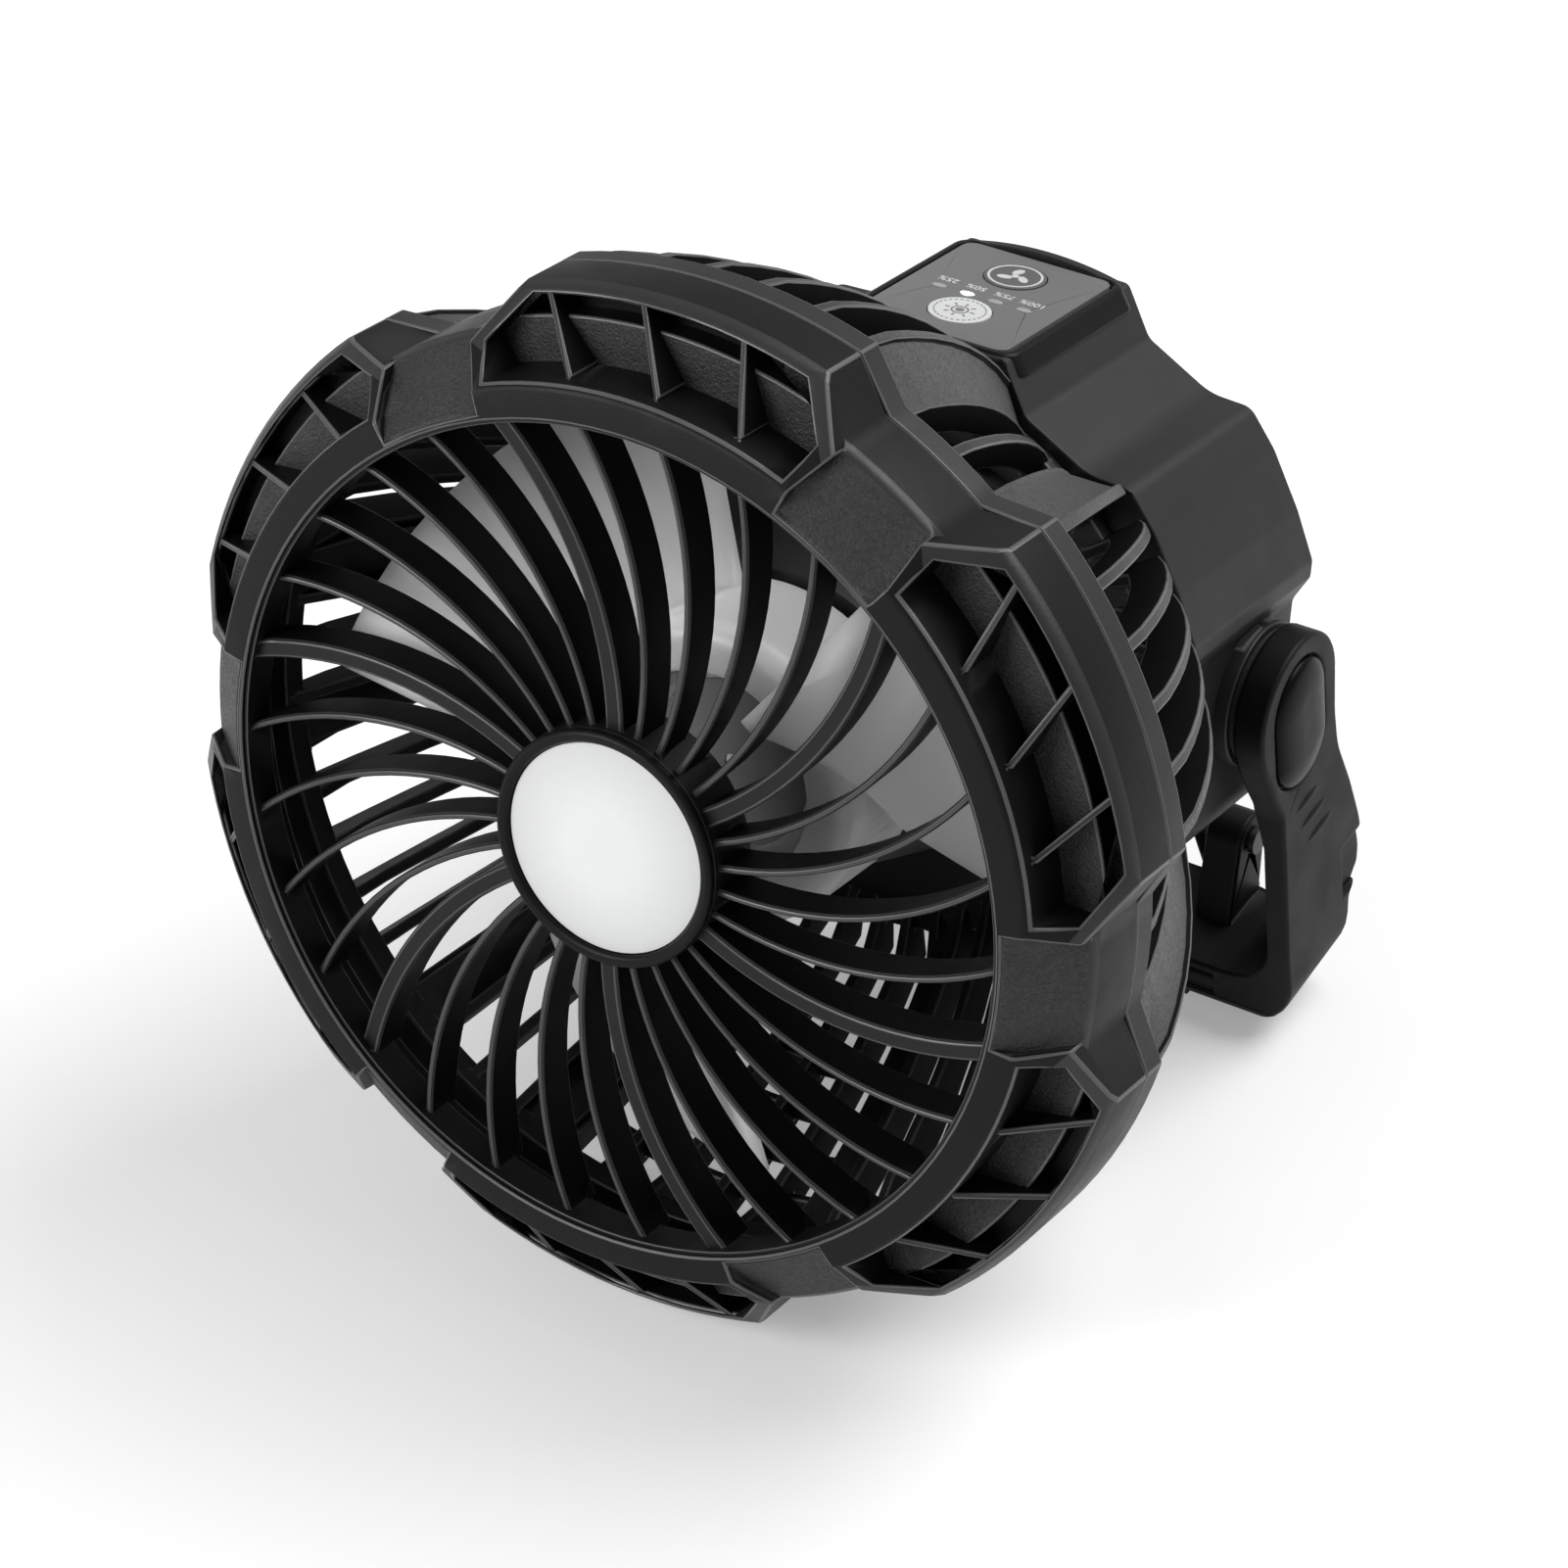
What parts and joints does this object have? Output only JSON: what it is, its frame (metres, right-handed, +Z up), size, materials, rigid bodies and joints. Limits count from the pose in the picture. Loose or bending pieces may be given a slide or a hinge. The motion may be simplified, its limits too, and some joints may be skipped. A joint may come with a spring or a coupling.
{
  "type": "portable camping fan",
  "caption": "Portable camping fan: lugged guard ring, swirled grille with a centre lamp, finned rear cage, battery housing with push buttons, and a swinging handle that is also its rear foot.",
  "frame": {"origin": "on the floor, at the middle of the footprint's box", "axes": "+Z up, the fan blows towards -Y and leans back by eight degrees, +X is to the right seen from the front"},
  "size_m": [0.1954, 0.1768, 0.2002],
  "materials": {
    "shell": "fine-grained black injection-moulded plastic, slight sheen",
    "bezel_trim": "smooth black trim ring",
    "diffuser": "milky white lamp diffuser",
    "blade": "smooth light grey blades",
    "panel": "satin dark grey control panel",
    "fan_key": "dark key with a pale ring",
    "light_key": "pale lit key",
    "indicator": "clear indicator lenses",
    "circuit": "green solder mask",
    "chip": "yellow phosphor",
    "switch": "black switch body",
    "steel": "zinc-plated or ground steel",
    "magnet": "sintered magnet",
    "alloy": "die-cast alloy",
    "copper": "enamelled copper winding",
    "brass": "turned brass insert",
    "cell": "shrink-wrapped metal can",
    "rubber": "soft black rubber",
    "wire": "black powder-coated wire"
  },
  "bodies": {
    "head": {"front_bezel": "shell", "grille": "shell", "grille_screws": "steel", "lamp_trim": "bezel_trim", "lamp_lens": "diffuser", "lamp_board": "circuit", "lamp_chips": "chip", "motor_base": "alloy", "stator_core": "steel", "stator_coils": "copper", "motor_bearings": "steel", "motor_mount": "shell", "mount_screws": "steel", "rear_cage": "shell", "bezel_screws": "steel", "housing": "shell", "cage_screws": "steel", "rear_cover": "shell", "cover_screws": "steel", "control_panel": "panel", "indicator_lenses": "indicator", "control_board": "circuit", "key_switches": "switch", "battery_cells": "cell", "battery_holder": "shell", "power_board": "circuit", "charge_port": "steel", "usb_port": "steel", "pivot_inserts": "brass", "pivot_washers": "rubber", "pivot_bolts": "steel"},
    "rotor": {"impeller": "blade", "motor_rotor": "steel", "rotor_magnet": "magnet", "motor_shaft": "steel"},
    "swing_handle": {"handle": "shell", "arm_caps": "shell", "foot_strip": "rubber"},
    "hook": {"hanging_hook": "wire"},
    "fan_key": {"fan_button": "fan_key"},
    "light_key": {"light_button": "light_key"}
  },
  "joints": [
    {"name": "fan_spin", "type": "hinge", "parent": "head", "child": "rotor", "pos_m": [0, -0.02775, 0.09631], "axis": [0, 0.9903, -0.1392], "continuous": true},
    {"name": "handle_swing", "type": "hinge", "parent": "head", "child": "swing_handle", "pos_m": [0, 0.0531, 0.08243], "axis": [1, 0, 0], "range_deg": [-30, 100]},
    {"name": "hook_fold", "type": "hinge", "parent": "swing_handle", "child": "hook", "pos_m": [0, 0.07575, 0.03027], "axis": [1, 0, 0], "range_deg": [0, 90]},
    {"name": "fan_key_press", "type": "slide", "parent": "head", "child": "fan_key", "axis": [0, -0.1392, -0.9903], "range_m": [0, 0.0004], "stiffness_N_per_m": 400},
    {"name": "light_key_press", "type": "slide", "parent": "head", "child": "light_key", "axis": [0, -0.1392, -0.9903], "range_m": [0, 0.0004], "stiffness_N_per_m": 400}
  ]
}
